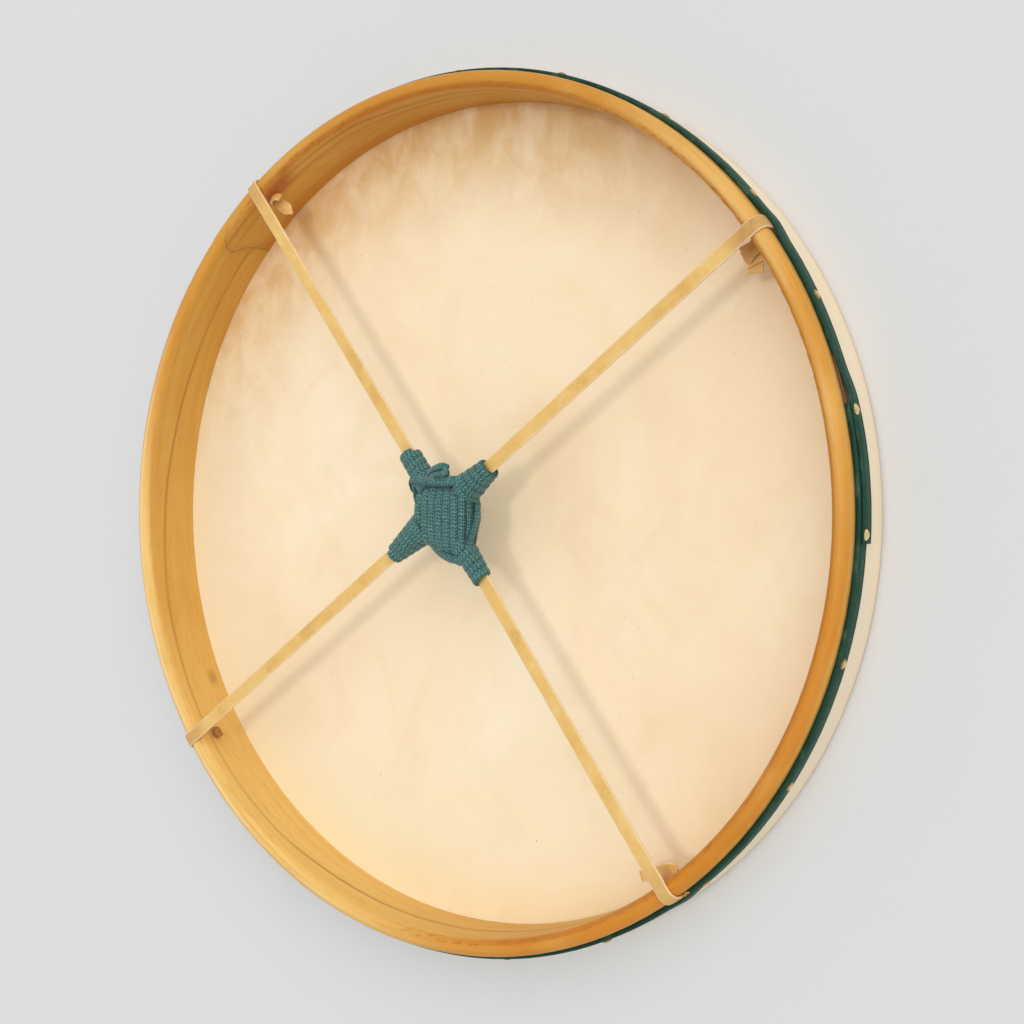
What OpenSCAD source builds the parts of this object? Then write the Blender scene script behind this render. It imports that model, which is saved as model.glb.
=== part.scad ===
// Bodhran: a shallow Irish frame drum, lying on its skin with the open side up.
// The hoop's axis is Z. z = 0 is the outer face of the skin. Sizes are millimetres.

/* [Hoop] */
// Outside diameter of the wooden hoop
hoop_d = 457.2; // [400:0.1:500]
// Depth of the hoop along its axis
hoop_depth = 38.1; // [36:0.1:80]
// Wall thickness, which is also the width of the rounded open edge
wall = 9; // [8:0.1:11]
// Radius of the bearing edge under the skin
bearing_r = 2; // [1:0.1:3]

/* [Drumhead] */
// Thickness of the skin
skin_t = 1; // [0.6:0.1:1.2]
// Bare wood left between the skin's cut edge and the hoop's open edge
bare_edge = 7.8; // [7:0.1:8]

/* [Trim band] */
// Width of the green leather band
band_w = 8.6; // [7:0.1:10]
// Thickness of the band in the middle of its width
band_t = 1.3; // [1:0.1:1.6]
// How much thinner the band is along its two edges
band_crown = 0.4; // [0.1:0.1:0.6]
// Angle at which the upper end of the band is cut off
band_top_end = -3; // [-4:0.5:-2]
// Angle at which the lower end stops, hidden under the upper one
band_low_end = 12.5; // [12:0.5:14]
// How far the upper end is set over towards the skin
band_shift = 1.8; // [0:0.1:2]

/* [Tacks] */
// Number of brass tacks, evenly set out and then driven by eye
tack_count = 24; // [20:1:24]
// Angle of the first tack before its wander
tack_first = -3.3; // [-3.5:0.1:-3]
// Most that a tack strays from its even place, in degrees
tack_wander = 1.8; // [0:0.1:1.8]
// Diameter of the domed head
tack_head_d = 5.2; // [4:0.1:6]
// Height of the dome
tack_head_h = 1.2; // [1:0.1:2]
// Diameter of the shank
tack_shank_d = 1.4; // [1:0.1:2]
// Length of the shank under the head
tack_shank_l = 8; // [5:0.5:9]

/* [Laces] */
// Angles of the four lace ends round the hoop
lace_angles = [35.5, 125, 216.4, 307.8]; // [0:0.1:360]
// Width of the rawhide strip
lace_w = 7.4; // [6:0.1:8]
// Thickness of the strip
lace_t = 1.3; // [1:0.1:1.4]
// Diameter of the hole that each end passes through
lace_hole_d = 5.4; // [5:0.1:6]
// Distance of those holes from the open edge
lace_hole_drop = 14.7; // [14:0.1:16]
// Sag of the upper lace at the crossing
cross_sag = 1.4; // [1:0.1:2]

/* [Grip] */
// Width, height and thickness of the cord wound round the crossing
grip_size = [40, 38, 18]; // [16:1:44]
// Offset of that winding from the crossing
grip_shift = [1.5, -2.3]; // [-3:0.1:3]
// Diameter of the cord wound along each lace
arm_d = 13; // [10:0.5:14]
// Reach of the four arms from the crossing, in the order of lace_angles
arm_reach = [37, 35, 38.5, 43]; // [30:0.5:46]
// Diameter of the tucked-in end of the cord
tail_d = 8; // [6:0.5:9]

/* [Hidden] */

$fn = 96;
hoop_fn = 240;
cut = 1;                                   // overrun of a cutting solid
touch = 0.03;                              // gap between parts that rest on each other
running = 0.15;                            // gap round a lace where it passes wood or skin

hoop_r = hoop_d / 2;
top_z = skin_t + hoop_depth;
edge_r = wall / 2;
skin_r = hoop_r + skin_t;
skin_top = top_z - bare_edge;
band_r = skin_r + band_t;
band_top = skin_top - 0.2;
tack_z = band_top - band_w / 2 + 0.4;
lace_hole_z = top_z - lace_hole_drop;
lace_out = running + lace_t;               // how far a lace stands off the wood
rising_drop = cross_sag;                   // how far each lace is below the open edge at the crossing
falling_drop = cross_sag + lace_t + running;
grip_z = top_z + running - (rising_drop + falling_drop - lace_t) / 2;
pocket_w = lace_w + 0.5;                   // room for a lace under the skin
pocket_bottom = lace_hole_z - lace_hole_d / 2 - 0.4;
skin_bulge_w = pocket_w + 7;
band_bulge_w = skin_bulge_w + 9;
arc_step = 6;                              // degrees between the points of a lace's bend

lace_colour = "#d9ae60";
cord_colour = "#3f7d78";

// Angle of one tack: an even step, plus the slow wander of tacks driven by eye
function tack_angle(i) =
    let (even = tack_first + i * 360 / tack_count)
    even + tack_wander * cos(3 * (even + 18));

// Whether an angle lies where the band's two ends overlap
function on_overlap(a) = a > band_top_end && a < band_low_end;

// The top of the hoop's open edge at one angle, in plan
function rim_point(a) = (hoop_r - edge_r) * [cos(a), sin(a)];

// Where the chord from p to q meets the chord from r to s, in plan
function crossing(p, q, r, s) =
    let (d = q - p, e = s - r, k = cross(r - p, e) / cross(d, e))
    p + k * d;

rim = [for (a = lace_angles) rim_point(a)];
cross_at = crossing(rim[0], rim[2], rim[1], rim[3]);

// Puts children at a point of the plan, with X turned towards a second point
module along(p, q, z = 0) {
    d = q - p;
    translate([p[0], p[1], z]) rotate([0, 0, atan2(d[1], d[0])]) children();
}

// Flat rectangle with round corners, centred on the origin
module round_rect(size, r) {
    square([size[0] - 2 * r, size[1]], center = true);
    square([size[0], size[1] - 2 * r], center = true);
    for (x = [-1, 1], y = [-1, 1]) {
        translate([x * (size[0] / 2 - r), y * (size[1] / 2 - r)]) circle(r);
    }
}

// ---- Hoop ----

module hoop_section() {
    translate([hoop_r - wall, skin_t]) square([wall - bearing_r, hoop_depth - edge_r]);
    translate([hoop_r - bearing_r, skin_t + bearing_r]) {
        square([bearing_r, hoop_depth - edge_r - bearing_r]);
        circle(bearing_r);
    }
    translate([hoop_r - edge_r, top_z - edge_r]) circle(edge_r);
}

module lace_holes() {
    for (a = lace_angles) {
        rotate([0, 0, a]) translate([hoop_r - wall - cut, 0, lace_hole_z])
            rotate([0, 90, 0]) cylinder(d = lace_hole_d, h = wall + 2 * cut);
    }
}

module tack_holes() {
    for (i = [0 : tack_count - 1]) {
        rotate([0, 0, tack_angle(i)]) translate([band_r - tack_shank_l - touch, 0, tack_z])
            rotate([0, 90, 0]) cylinder(d = tack_shank_d + touch, h = tack_shank_l + 2 * band_t + cut);
    }
}

module hoop() {
    color("#dfa24b") difference() {
        rotate_extrude($fn = hoop_fn) hoop_section();
        lace_holes();
        tack_holes();
    }
}

// ---- Drumhead ----

// Half of a filled, round-cornered dish: its radius, corner radius, floor and top
module dish_section(r, corner, low, high) {
    translate([0, low]) square([r - corner, high - low]);
    translate([0, low + corner]) square([r, high - low - corner]);
    translate([r - corner, low + corner]) circle(corner);
}

module skin_section() {
    difference() {
        dish_section(skin_r, bearing_r + skin_t, 0, skin_top);
        dish_section(hoop_r, bearing_r, skin_t, skin_top + cut);
    }
}

// A block that stands off the hoop at each lace, from one radius out to another
module at_laces(r_in, r_out, width, z_low, z_high) {
    for (a = lace_angles) {
        rotate([0, 0, a]) translate([r_in, -width / 2, z_low])
            cube([r_out - r_in, width, z_high - z_low]);
    }
}

module lace_pockets() {
    at_laces(hoop_r - cut, hoop_r + lace_out + running, pocket_w, pocket_bottom, top_z);
}

// extra lowers the bulges' top a little below the skin's cut edge, or raises it when they cut the band
module skin_bulges(extra = -0.3) {
    at_laces(hoop_r + skin_t / 2, skin_r + lace_out + running, skin_bulge_w,
             pocket_bottom - 3, skin_top + extra);
}

module drumhead() {
    color("#f5dfb6") difference() {
        union() {
            rotate_extrude($fn = hoop_fn) skin_section();
            skin_bulges();
        }
        lace_pockets();
        tack_holes();
    }
}

// ---- Trim band ----

// The band's section, from its back at x = 0 to its crowned face at x = t
module band_section(t) {
    flat = band_w / 4;
    edge = band_w / 2;
    polygon([[0, -edge], [t - band_crown, -edge], [t, -flat],
             [t, flat], [t - band_crown, edge], [0, edge]]);
}

module trim_band() {
    band_mid = band_top - band_w / 2;
    overlap = band_low_end - band_top_end;
    sunk = band_t / 2;
    color("#2f5e4c") difference() {
        union() {
            rotate_extrude($fn = hoop_fn) translate([skin_r, band_mid]) band_section(band_t);
            rotate([0, 0, band_top_end]) rotate_extrude(angle = overlap, $fn = hoop_fn)
                translate([skin_r + sunk, band_mid - band_shift]) band_section(2 * band_t - sunk);
            at_laces(skin_r + sunk, band_r + lace_out + running, band_bulge_w,
                     band_top - band_w + sunk, band_top - sunk);
        }
        skin_bulges(extra = cut);
        tack_holes();
    }
}

// ---- Tacks ----

// Half of a tack's section: the dome above Y = 0 and the shank below it
module tack_section() {
    dome_r = (pow(tack_head_d / 2, 2) + pow(tack_head_h, 2)) / (2 * tack_head_h);
    intersection() {
        translate([0, tack_head_h - dome_r]) circle(dome_r);
        square([tack_head_d / 2, tack_head_h]);
    }
    translate([0, -tack_shank_l]) square([tack_shank_d / 2, tack_shank_l + tack_head_h / 2]);
}

// One tack along +X, with the underside of its head at x = 0
module tack() {
    rotate([0, 90, 0]) rotate_extrude($fn = 24) tack_section($fn = 48);
}

module brass_tacks() {
    color("#caa24a") for (i = [0 : tack_count - 1]) {
        lift = on_overlap(tack_angle(i)) ? band_t : 0;
        rotate([0, 0, tack_angle(i)]) translate([band_r + lift + touch, 0, tack_z]) tack();
    }
}

// ---- Laces ----

// One side of a lace's edge line, over the open edge and down to its hole.
// off is the distance from the wood, half the distance between the two ends' rim points.
function hook_line(half, off) = concat(
    [for (t = [90 : -arc_step : 0])
        [half + (edge_r + off) * cos(t), top_z - edge_r + (edge_r + off) * sin(t)]],
    [[half + edge_r + off, lace_hole_z - lace_hole_d / 4]]);

function mirrored(line) = [for (i = [len(line) - 1 : -1 : 0]) [-line[i][0], line[i][1]]];

// A whole lace edge line, from one hole to the other, low by drop at the crossing
function lace_line(half, off, x_cross, drop) =
    concat(mirrored(hook_line(half, off)), [[x_cross, top_z + off - drop]], hook_line(half, off));

function reversed(line) = [for (i = [len(line) - 1 : -1 : 0]) line[i]];

// A lace from lace end i to lace end j, standing in the upright plane through both
module lace_strip(i, j, drop) {
    middle = (rim[i] + rim[j]) / 2;
    half = norm(rim[i] - rim[j]) / 2;
    x_cross = (cross_at - middle) * (rim[i] - middle) / half;
    along(middle, rim[i]) rotate([90, 0, 0]) linear_extrude(lace_w, center = true)
        polygon(concat(lace_line(half, lace_out, x_cross, drop),
                       reversed(lace_line(half, running, x_cross, drop))));
}

// The rolled-up end of a lace, in its hole
module lace_plug(a) {
    rotate([0, 0, a]) translate([hoop_r - wall - cut, 0, lace_hole_z]) rotate([0, 90, 0])
        cylinder(d = lace_hole_d - 2 * touch, h = wall + cut + running + lace_t / 2);
}

// The folded stop on the inside of the hoop that keeps a lace end from pulling through.
// size is along the radius, round the hoop and up; shift is round the hoop and up.
module lace_stop(a, size, shift) {
    rotate([0, 0, a])
        translate([hoop_r - wall - touch - size[0] / 2, shift[0], lace_hole_z + shift[1] - size[2] / 2])
            linear_extrude(size[2]) round_rect([size[0], size[1]], 2);
}

module lace_rising() {
    color(lace_colour) union() {
        lace_strip(0, 2, rising_drop);
        lace_plug(lace_angles[0]);
        lace_plug(lace_angles[2]);
        lace_stop(lace_angles[0], size = [14, 15, 7], shift = [-2, -1.5]);
        lace_stop(lace_angles[2], size = [6, 8, 8], shift = [0, 0]);
    }
}

module lace_falling() {
    color(lace_colour) union() {
        lace_strip(1, 3, falling_drop);
        lace_plug(lace_angles[1]);
        lace_plug(lace_angles[3]);
        lace_stop(lace_angles[1], size = [7, 9, 14], shift = [-1, 0]);
        lace_stop(lace_angles[3], size = [11, 22, 6], shift = [-7, -1.5]);
    }
}

// The room that both laces take inside the windings, one slot that holds both layers
module lace_room() {
    slack = 0.2;
    low = top_z + running - falling_drop - slack;
    high = top_z + lace_out - rising_drop + 3 * slack;
    for (p = rim) {
        along(cross_at, p, low) translate([-lace_w, -lace_w / 2 - slack, 0])
            cube([max(arm_reach) + 2 * lace_w, lace_w + 2 * slack, high - low]);
    }
}

// ---- Grip ----

module grip_block() {
    translate([cross_at[0] + grip_shift[0], cross_at[1] + grip_shift[1], grip_z]) {
        intersection() {
            rotate([90, 0, 90]) linear_extrude(grip_size[0], center = true)
                round_rect([grip_size[1], grip_size[2]], grip_size[2] / 2 - 2);
            linear_extrude(2 * grip_size[2], center = true)
                round_rect([grip_size[0], 2 * grip_size[1]], 9);
        }
    }
}

module grip_centre() {
    color(cord_colour) difference() {
        grip_block();
        lace_room();
    }
}

// The winding along lace end number i
module grip_arm(i) {
    inner = 12;
    color(cord_colour) difference() {
        along(cross_at, rim[i], grip_z) translate([inner, 0, 0])
            rotate([0, 90, 0]) cylinder(d = arm_d, h = arm_reach[i] - inner);
        grip_block();
        lace_room();
    }
}

module grip_arm_upper_right() { grip_arm(0); }
module grip_arm_upper_left() { grip_arm(1); }
module grip_arm_lower_left() { grip_arm(2); }
module grip_arm_lower_right() { grip_arm(3); }

// The cord's end, lying across the top of the centre winding between the two upper arms
module grip_tail() {
    from = [cross_at[0] - 8, cross_at[1] + 22];
    to = [cross_at[0] + 13, cross_at[1] + 19.5];
    color(cord_colour) difference() {
        along(from, to, grip_z + 4.5) rotate([0, 90, 0])
            cylinder(d = tail_d, h = norm(to - from));
        grip_block();
        grip_arm(0);
        grip_arm(1);
    }
}

hoop();
drumhead();
trim_band();
brass_tacks();
lace_rising();
lace_falling();
grip_centre();
grip_arm_upper_right();
grip_arm_upper_left();
grip_arm_lower_left();
grip_arm_lower_right();
grip_tail();
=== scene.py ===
"""An 18 inch bodhran lying on its head with the open side up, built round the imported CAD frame.

Lengths are metres, angles are degrees round the hoop's axis from +X, and z = 0 is the skin's outer face.
"""

import math

import bpy
import numpy as np
from mathutils import Matrix, Vector, noise


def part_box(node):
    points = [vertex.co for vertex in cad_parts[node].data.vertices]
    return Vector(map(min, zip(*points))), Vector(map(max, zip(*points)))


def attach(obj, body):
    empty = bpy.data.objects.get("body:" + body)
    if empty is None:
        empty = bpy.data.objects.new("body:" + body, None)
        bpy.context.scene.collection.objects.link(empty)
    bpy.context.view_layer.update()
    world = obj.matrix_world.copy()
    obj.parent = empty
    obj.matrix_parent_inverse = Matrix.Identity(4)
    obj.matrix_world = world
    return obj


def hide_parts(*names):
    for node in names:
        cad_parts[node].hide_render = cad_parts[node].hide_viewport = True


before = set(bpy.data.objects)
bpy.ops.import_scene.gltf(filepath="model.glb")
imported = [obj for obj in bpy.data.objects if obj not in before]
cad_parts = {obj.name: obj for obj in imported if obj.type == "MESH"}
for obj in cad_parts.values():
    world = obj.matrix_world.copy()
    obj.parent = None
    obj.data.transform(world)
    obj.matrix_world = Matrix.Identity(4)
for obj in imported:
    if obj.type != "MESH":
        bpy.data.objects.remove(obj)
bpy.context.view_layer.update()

MM = 0.001

# ---- Sizes, from the frame and from a few driving dimensions ----

HOOP_LOW, HOOP_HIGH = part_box("hoop")
HOOP_R = HOOP_HIGH.x
SKIN_T = HOOP_LOW.z
TOP_Z = HOOP_HIGH.z
WALL = 9 * MM
EDGE_R = WALL / 2
RIM_R = HOOP_R - EDGE_R
INNER_R = HOOP_R - WALL
SKIN_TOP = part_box("drumhead")[1].z
BAND_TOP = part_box("trim_band")[1].z
BAND_W = 8.6 * MM
BAND_T = 1.3 * MM
BAND_MID = BAND_TOP - BAND_W / 2
BAND_SHIFT = 1.8 * MM
BAND_ENDS = (-3.0, 12.5)              # the upper layer's cut end, and the lower layer's hidden one
BEARING_R = 2 * MM
LACE_ANGLES = (35.5, 125.0, 216.4, 307.8)
LACE_W = 7.4 * MM
LACE_T = 1.3 * MM
LACE_GAP = 0.15 * MM
ROLLED_W = 4.9 * MM                   # a lace rolled up to go through its hole
ROLLED_T = 4.7 * MM
LACE_HOLE_Z = TOP_Z - 14.7 * MM
RISING_DROP = 1.4 * MM
FALLING_DROP = RISING_DROP + LACE_T + LACE_GAP
STAND_OFF = 0.75 * MM                 # how far the skin and band bulge over a lace
GRIP_LOW, GRIP_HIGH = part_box("grip_centre")
GRIP_MID = (GRIP_LOW + GRIP_HIGH) / 2
CORD_W = 5.3 * MM
CORD_H = 3.2 * MM
STITCH = 1.75 * MM


# ---- Small geometry helpers ----

def polar(r, degrees, z=0.0):
    a = math.radians(degrees)
    return Vector((r * math.cos(a), r * math.sin(a), z))


def smooth_step(x, low, high):
    """0 below low, 1 above high and an S curve between them."""
    t = np.clip((x - low) / (high - low), 0.0, 1.0)
    return t * t * (3 - 2 * t)


def bump_at(x, centre, half_width):
    """A smooth bump 1 high that fades out at half_width from centre."""
    return 1 - smooth_step(np.abs(x - centre), 0.0, half_width)


def turn_between(a, b):
    """The signed angle from b to a, in degrees, between -180 and 180."""
    return (a - b + 180.0) % 360.0 - 180.0


def wobble(x, seed, size=1.0):
    """Slow, repeatable unevenness between about -1 and 1."""
    return noise.noise(Vector((x * size, seed * 7.3, seed * 1.9)))


def new_piece(name, rings, material, closed_path=False, attributes=None):
    """A mesh skinned over rings of points, which ride on the drum's one body."""
    rings = np.asarray(rings, float)
    n_rings, n_side = rings.shape[:2]
    mesh = bpy.data.meshes.new(name)
    i = np.arange(n_rings if closed_path else n_rings - 1)[:, None]
    j = np.arange(n_side)[None, :]
    nxt = (j + 1) % n_side
    row, row2 = i * n_side, ((i + 1) % n_rings) * n_side
    quads = np.stack([row + j, row + nxt, row2 + nxt, row2 + j], axis=-1).reshape(-1, 4)
    faces = quads.tolist()
    if not closed_path:
        faces.append(list(range(n_side))[::-1])
        faces.append(list(range((n_rings - 1) * n_side, n_rings * n_side)))
    mesh.from_pydata(rings.reshape(-1, 3).tolist(), [], faces)
    for key, values in (attributes or {}).items():
        layer = mesh.attributes.new(key, "FLOAT", "POINT")
        layer.data.foreach_set("value", np.asarray(values, np.float32).reshape(-1))
    mesh.polygons.foreach_set("use_smooth", [True] * len(mesh.polygons))
    mesh.materials.append(material)
    piece = bpy.data.objects.new(name, mesh)
    bpy.context.scene.collection.objects.link(piece)
    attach(piece, "root")
    return piece


def join_pieces(pieces, name):
    """One object made of several, under a new name."""
    with bpy.context.temp_override(active_object=pieces[0], selected_editable_objects=pieces):
        bpy.ops.object.join()
    pieces[0].name = name
    pieces[0].data.name = name
    return pieces[0]


def smooth_line(points, step):
    """Points a step apart along a smooth curve through the given ones."""
    p = np.asarray(points, float)
    p = np.vstack([2 * p[0] - p[1], p, 2 * p[-1] - p[-2]])
    fine = []
    t = np.linspace(0, 1, 24, endpoint=False)[:, None]
    for a, b, c, d in zip(p[:-3], p[1:-2], p[2:-1], p[3:]):
        fine.append(0.5 * ((2 * b) + (c - a) * t + (2 * a - 5 * b + 4 * c - d) * t**2
                           + (3 * b - a - 3 * c + d) * t**3))
    fine = np.vstack(fine + [p[-2:-1]])
    return even_line(fine, step)


def even_line(points, step):
    """The same polyline with its points a step apart."""
    p = np.asarray(points, float)
    s = np.concatenate([[0], np.cumsum(np.linalg.norm(np.diff(p[:, :3], axis=0), axis=1))])
    at = np.linspace(0, s[-1], max(4, int(round(s[-1] / step)) + 1))
    return np.stack([np.interp(at, s, p[:, k]) for k in range(p.shape[1])], axis=1)


def unit(v):
    return v / np.maximum(np.linalg.norm(v, axis=-1, keepdims=True), 1e-12)


# ---- Materials ----

class Paint:
    """A node material in the making, with short calls for the nodes it needs."""

    def __init__(self, name, **sockets):
        self.material = bpy.data.materials.new(name)
        self.material.use_nodes = True
        self.tree = self.material.node_tree
        self.shader = self.tree.nodes["Principled BSDF"]
        for key, value in sockets.items():
            self.shader.inputs[key.replace("_", " ")].default_value = value
        self.place = self.add("ShaderNodeTexCoord").outputs["Object"]

    def add(self, kind, inputs=None, **props):
        node = self.tree.nodes.new(kind)
        for key, value in props.items():
            setattr(node, key, value)
        for key, value in (inputs or {}).items():
            if isinstance(value, bpy.types.NodeSocket):
                self.tree.links.new(value, node.inputs[key])
            else:
                node.inputs[key].default_value = value
        return node

    def math(self, operation, a, b=0.0):
        return self.add("ShaderNodeMath", {0: a, 1: b}, operation=operation).outputs[0]

    def times(self, *values):
        """The product of two or more values."""
        product = values[0]
        for value in values[1:]:
            product = self.math("MULTIPLY", product, value)
        return product

    def radius(self, x, y):
        return self.math("SQRT", self.math("ADD", self.times(x, x), self.times(y, y)))

    def combine(self, x, y, z):
        return self.add("ShaderNodeCombineXYZ", {0: x, 1: y, 2: z}).outputs[0]

    def stretch(self, vector, scale):
        return self.add("ShaderNodeMapping", {"Vector": vector, "Scale": scale}).outputs[0]

    def noise(self, vector, scale, detail=4.0, rough=0.55, distortion=0.0):
        inputs = {"Vector": vector, "Scale": scale, "Detail": detail, "Roughness": rough,
                  "Distortion": distortion}
        return self.add("ShaderNodeTexNoise", inputs).outputs["Fac"]

    def fade(self, value, low, high, to_low=0.0, to_high=1.0):
        """value carried from low..high to to_low..to_high, held at both ends."""
        inputs = {"Value": value, "From Min": low, "From Max": high, "To Min": to_low, "To Max": to_high}
        node = self.add("ShaderNodeMapRange", inputs, interpolation_type="SMOOTHSTEP")
        return node.outputs["Result"]

    def line(self, value, half_width, soft):
        """1 where value is within half_width of 0, fading to 0 over soft more."""
        return self.fade(self.math("ABSOLUTE", value), half_width, half_width + soft, 1.0, 0.0)

    def ramp(self, fac, *stops):
        node = self.add("ShaderNodeValToRGB", {"Fac": fac})
        node.color_ramp.interpolation = "EASE"
        while len(node.color_ramp.elements) < len(stops):
            node.color_ramp.elements.new(0.5)
        for element, (position, colour) in zip(node.color_ramp.elements, stops):
            element.position = position
            element.color = (*colour, 1.0)
        return node.outputs["Color"]

    def curve(self, value, points):
        """A smooth function of value, which runs from 0 to 1, through points."""
        node = self.add("ShaderNodeFloatCurve", {"Value": value})
        curve = node.mapping.curves[0]
        while len(curve.points) < len(points):
            curve.points.new(0.5, 0.5)
        for point, (x, y) in zip(curve.points, points):
            point.location = (x, y)
        node.mapping.update()
        return node.outputs["Value"]

    def mix(self, fac, a, b):
        """Colour a where fac is 0, and b where it is 1."""
        node = self.add("ShaderNodeMix", data_type="RGBA")
        for socket, value in ((node.inputs["Factor"], fac), (node.inputs["A"], a), (node.inputs["B"], b)):
            if isinstance(value, bpy.types.NodeSocket):
                self.tree.links.new(value, socket)
            elif isinstance(value, tuple):
                socket.default_value = (*value, 1.0)
            else:
                socket.default_value = value
        return [o for o in node.outputs if o.type == "RGBA"][0]

    def attribute(self, name):
        return self.add("ShaderNodeAttribute", attribute_name=name).outputs["Fac"]

    def finish(self, colour, roughness, height, distance, strength):
        """Joins the colour, the roughness and one bump to the shader."""
        links = self.tree.links
        links.new(colour, self.shader.inputs["Base Color"])
        links.new(roughness, self.shader.inputs["Roughness"])
        bump = self.add("ShaderNodeBump", {"Height": height, "Distance": distance, "Strength": strength})
        links.new(bump.outputs["Normal"], self.shader.inputs["Normal"])
        return self.material


SCARF_ANGLE = 134.6
CURVE_H = 40 * MM                     # the height over the skin that a curve's 0 to 1 covers
# The scarf joint's tongue: height in CURVE_H, then its offset round the hoop (0.5 none, 1 two degrees)
SCARF_TONGUE = [(0.0, 0.5), (0.45, 0.52), (0.6, 0.72), (0.68, 0.84), (0.78, 0.78), (0.86, 0.62), (0.96, 0.3)]
# The dark growth line: from the scarf joint once round the hoop, then its height in CURVE_H
GROWTH_LINE = [(0.0, 0.34), (0.015, 0.40), (0.04, 0.43), (0.08, 0.49), (0.12, 0.59), (0.19, 0.71),
               (0.235, 0.72), (0.33, 0.55), (0.5, 0.42), (0.7, 0.5), (0.84, 0.7), (0.865, 0.74),
               (0.89, 0.71), (0.92, 0.82), (0.95, 0.82), (1.0, 0.86)]


class HoopPlace:
    """Where a point of the hoop is, as sockets of a paint: its height, its radius and its turn."""

    def __init__(self, p):
        self.p = p
        turn = {"Vector": p.place, "Angle": math.radians(180 - SCARF_ANGLE)}
        turned = p.add("ShaderNodeVectorRotate", turn, rotation_type="Z_AXIS").outputs[0]
        xyz = p.add("ShaderNodeSeparateXYZ", {0: turned})
        x, y, self.z = xyz.outputs[0], xyz.outputs[1], xyz.outputs[2]
        self.r = p.radius(x, y)
        tongue = p.curve(p.math("DIVIDE", self.z, CURVE_H), SCARF_TONGUE)
        tongue = p.times(p.math("SUBTRACT", tongue, 0.5), math.radians(4))
        self.from_joint = p.math("SUBTRACT", p.math("ADD", p.math("ARCTAN2", y, x), math.pi), tongue)
        wrap = {0: self.from_joint, 1: 2 * math.pi, 2: 0.0}
        once = p.add("ShaderNodeMath", wrap, operation="WRAP").outputs[0]
        self.circle = p.math("DIVIDE", once, 2 * math.pi)
        self.grain = p.combine(p.times(once, HOOP_R), self.z, self.r)
        self.inside = p.fade(self.r, RIM_R - 4.2 * MM, RIM_R - 2 * MM, 1.0, 0.0)
        self.on_rim = p.fade(self.z, TOP_Z - 5 * MM, TOP_Z - 2 * MM)

    def near(self, degrees, half, soft):
        """1 within half of an angle round the hoop, fading to 0 over soft more."""
        share = (degrees - SCARF_ANGLE) % 360 / 360
        return self.p.line(self.p.math("SUBTRACT", self.circle, share), half / 360, soft / 360)

    def at_height(self, middle, half, soft):
        """The same for a height over the skin's outer face."""
        return self.p.line(self.p.math("SUBTRACT", self.z, middle), half, soft)

    def at_radius(self, middle, half, soft):
        """The same for a distance from the hoop's axis."""
        return self.p.line(self.p.math("SUBTRACT", self.r, middle), half, soft)


def wood_tone(p, at, broad, fine, patches):
    """Honey all over, deeper by stretches of the hoop, paler on the lower-left wall and rim as painted light,
    darker on the top wall partly as painted shade, with the long grain and its pores.
    """
    colour = p.ramp(broad, (0.25, (0.62, 0.300, 0.040)), (0.45, (0.69, 0.360, 0.062)),
                    (0.6, (0.73, 0.400, 0.080)), (0.8, (0.67, 0.335, 0.054)))
    colour = p.mix(p.times(at.on_rim, 0.6), colour, (0.70, 0.270, 0.014))
    # Painted light: the lower-left wall and rim, and a little of the upper-right rim, painted paler where the
    # softbox lights them.
    painted_light_wall = p.times(at.near(235, 12, 38), 0.75)
    painted_light_rim = p.math("MAXIMUM", at.near(214, 26, 34), p.times(at.near(48, 4, 16), 0.6))
    pale = p.math("MAXIMUM", painted_light_wall, p.times(painted_light_rim, p.times(at.on_rim, 0.85)))
    colour = p.mix(pale, colour, (0.90, 0.60, 0.19))
    colour = p.mix(p.times(at.near(318, 26, 24), at.on_rim, 0.75), colour, (0.65, 0.212, 0.006))
    # Partly painted shade: the top wall, which faces away from the softbox, darker and redder; partly the
    # wood's own deeper tone.
    colour = p.mix(p.times(at.near(102, 30, 28), 0.4), colour, (0.52, 0.205, 0.012))

    grain_depth = p.math("ADD", p.times(at.on_rim, 0.22), 0.14)
    colour = p.mix(p.times(p.fade(fine, 0.38, 0.66), grain_depth), colour, (0.58, 0.225, 0.022))
    colour = p.mix(p.fade(patches, 0.45, 0.7, 0.0, 0.35), colour, (0.82, 0.50, 0.13))
    pores = p.noise(p.stretch(at.grain, (80, 1300, 1300)), 1.0, 2, 0.5)
    return p.mix(p.fade(pores, 0.6, 0.7, 0.0, 0.28), colour, (0.42, 0.17, 0.03))


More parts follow.
